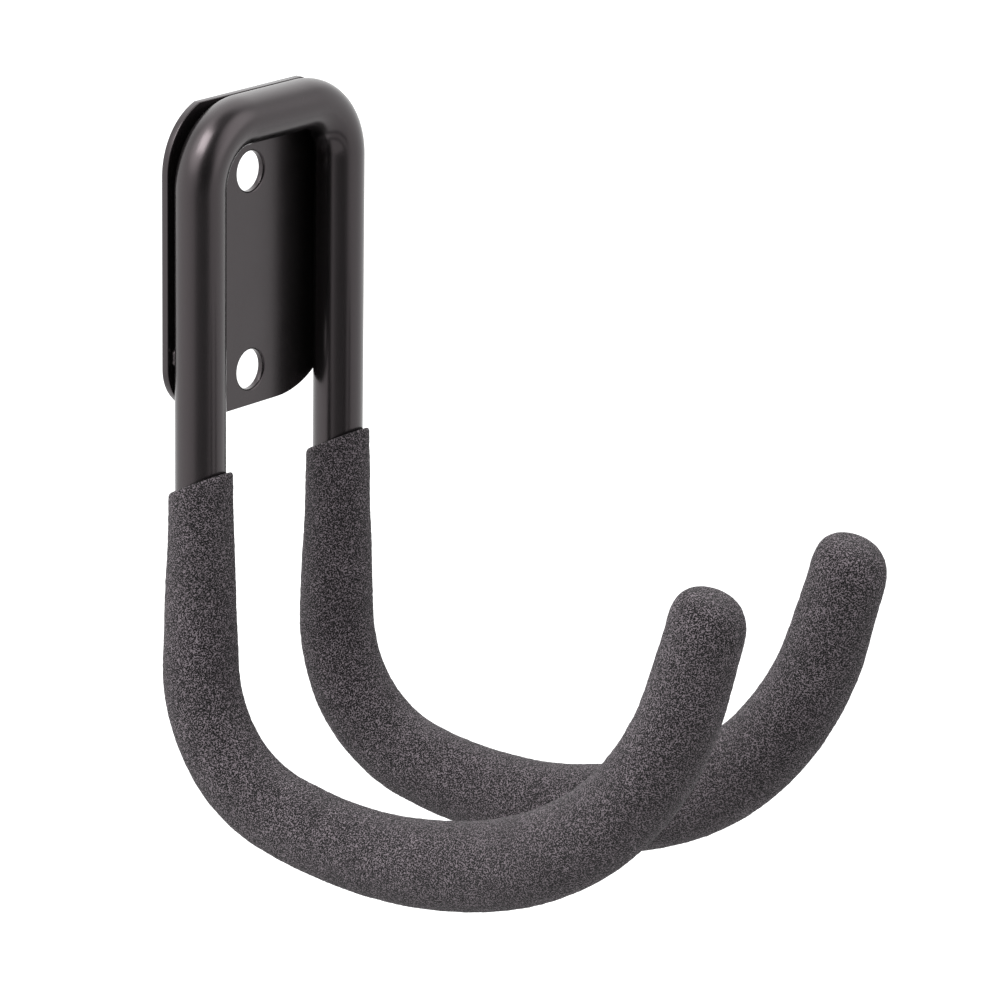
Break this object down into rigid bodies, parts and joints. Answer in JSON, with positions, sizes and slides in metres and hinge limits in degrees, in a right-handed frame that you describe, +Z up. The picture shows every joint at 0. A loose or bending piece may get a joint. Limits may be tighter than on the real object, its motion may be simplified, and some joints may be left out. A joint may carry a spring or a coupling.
{
  "type": "double storage hook",
  "caption": "Wall hook of one bent steel bar welded to a flat screw plate, with two J-shaped arms in closed-end foam sleeves that cradle hung gear.",
  "frame": {"origin": "on the wall plate's back face, midway between the two screw holes", "axes": "+Z up, +Y into the wall, -Y forward along the arms, +X to the right seen from the wall's room side, -X to the left"},
  "size_m": [0.0646, 0.1424, 0.1555],
  "materials": {
    "plate_paint": "semi-gloss black coating on sheet steel",
    "bar_paint": "semi-gloss black coating on round steel bar",
    "weld_paint": "semi-gloss black coating over a rippled weld bead",
    "sleeve_foam": "matt charcoal closed-cell foam with a fine open grain"
  },
  "bodies": {
    "root": {"wall_plate": "plate_paint", "steel_bar": "bar_paint", "foam_sleeve_left": "sleeve_foam", "foam_sleeve_right": "sleeve_foam", "side_weld_left": "weld_paint", "side_weld_right": "weld_paint", "top_weld": "weld_paint"}
  },
  "joints": []
}
